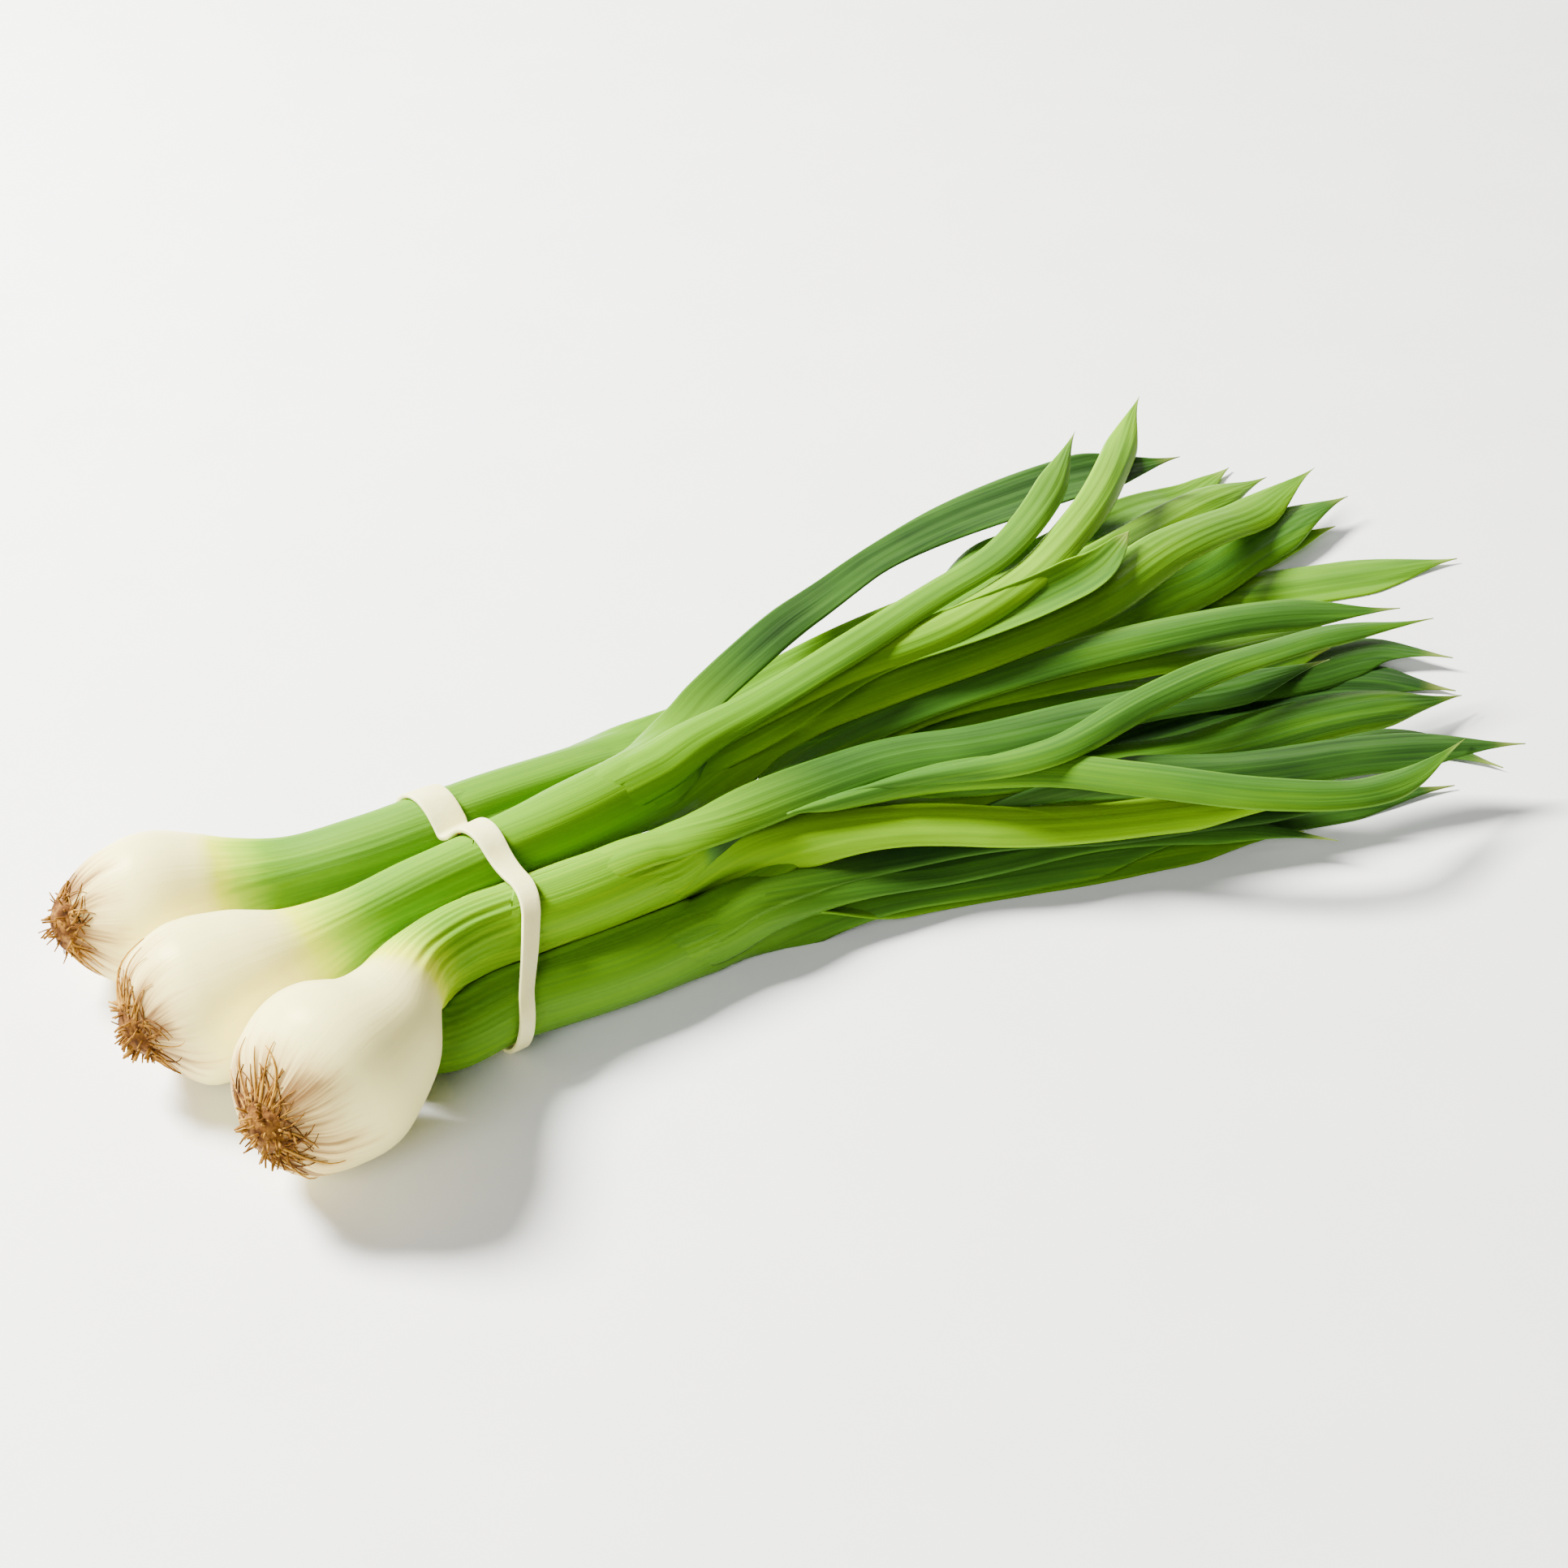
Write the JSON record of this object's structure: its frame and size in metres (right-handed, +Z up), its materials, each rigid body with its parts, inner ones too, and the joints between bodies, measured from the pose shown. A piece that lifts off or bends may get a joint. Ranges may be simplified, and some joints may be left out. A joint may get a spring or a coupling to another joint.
{
  "type": "spring onion bunch",
  "caption": "Bunch of fresh spring onions lying on its side: white bulbs with cut roots, pale sheaths and long green leaves, tied by one cream rubber band.",
  "frame": {"origin": "bottom centre of the bunch's bounding box, on the surface that the bunch lies on", "axes": "+X along the bunch from the roots towards the leaf tips, +Y across the bunch, away from its front edge, +Z up from the surface"},
  "size_m": [0.3678, 0.1572, 0.0395],
  "materials": {
    "bulb_and_sheath": "smooth, slightly glossy plant skin, white at the bulb and yellow-green towards the leaves",
    "roots": "matt, dry and fibrous",
    "leaf": "waxy green with fine lengthwise veins",
    "rubber_band": "matt natural rubber"
  },
  "bodies": {
    "root": {"onion_1_bulb_and_sheath": "bulb_and_sheath", "onion_1_roots": "roots", "onion_2_bulb_and_sheath": "bulb_and_sheath", "onion_2_roots": "roots", "onion_3_bulb_and_sheath": "bulb_and_sheath", "onion_3_roots": "roots", "onion_4_bulb_and_sheath": "bulb_and_sheath", "onion_4_roots": "roots", "onion_1_leaf_1": "leaf", "onion_1_leaf_2": "leaf", "onion_1_leaf_3": "leaf", "onion_1_leaf_4": "leaf", "onion_1_leaf_5": "leaf", "onion_1_leaf_6": "leaf", "onion_2_leaf_1": "leaf", "onion_2_leaf_2": "leaf", "onion_2_leaf_3": "leaf", "onion_2_leaf_4": "leaf", "onion_2_leaf_5": "leaf", "onion_2_leaf_6": "leaf", "onion_2_leaf_7": "leaf", "onion_3_leaf_1": "leaf", "onion_3_leaf_2": "leaf", "onion_3_leaf_3": "leaf", "onion_3_leaf_4": "leaf", "onion_3_leaf_5": "leaf", "onion_3_leaf_6": "leaf", "onion_3_leaf_7": "leaf", "onion_3_leaf_8": "leaf", "onion_4_leaf_1": "leaf", "onion_4_leaf_2": "leaf", "onion_4_leaf_3": "leaf", "onion_4_leaf_4": "leaf", "onion_4_leaf_5": "leaf", "onion_4_leaf_6": "leaf", "onion_4_leaf_7": "leaf", "onion_4_leaf_8": "leaf", "rubber_band": "rubber_band"}
  },
  "joints": []
}
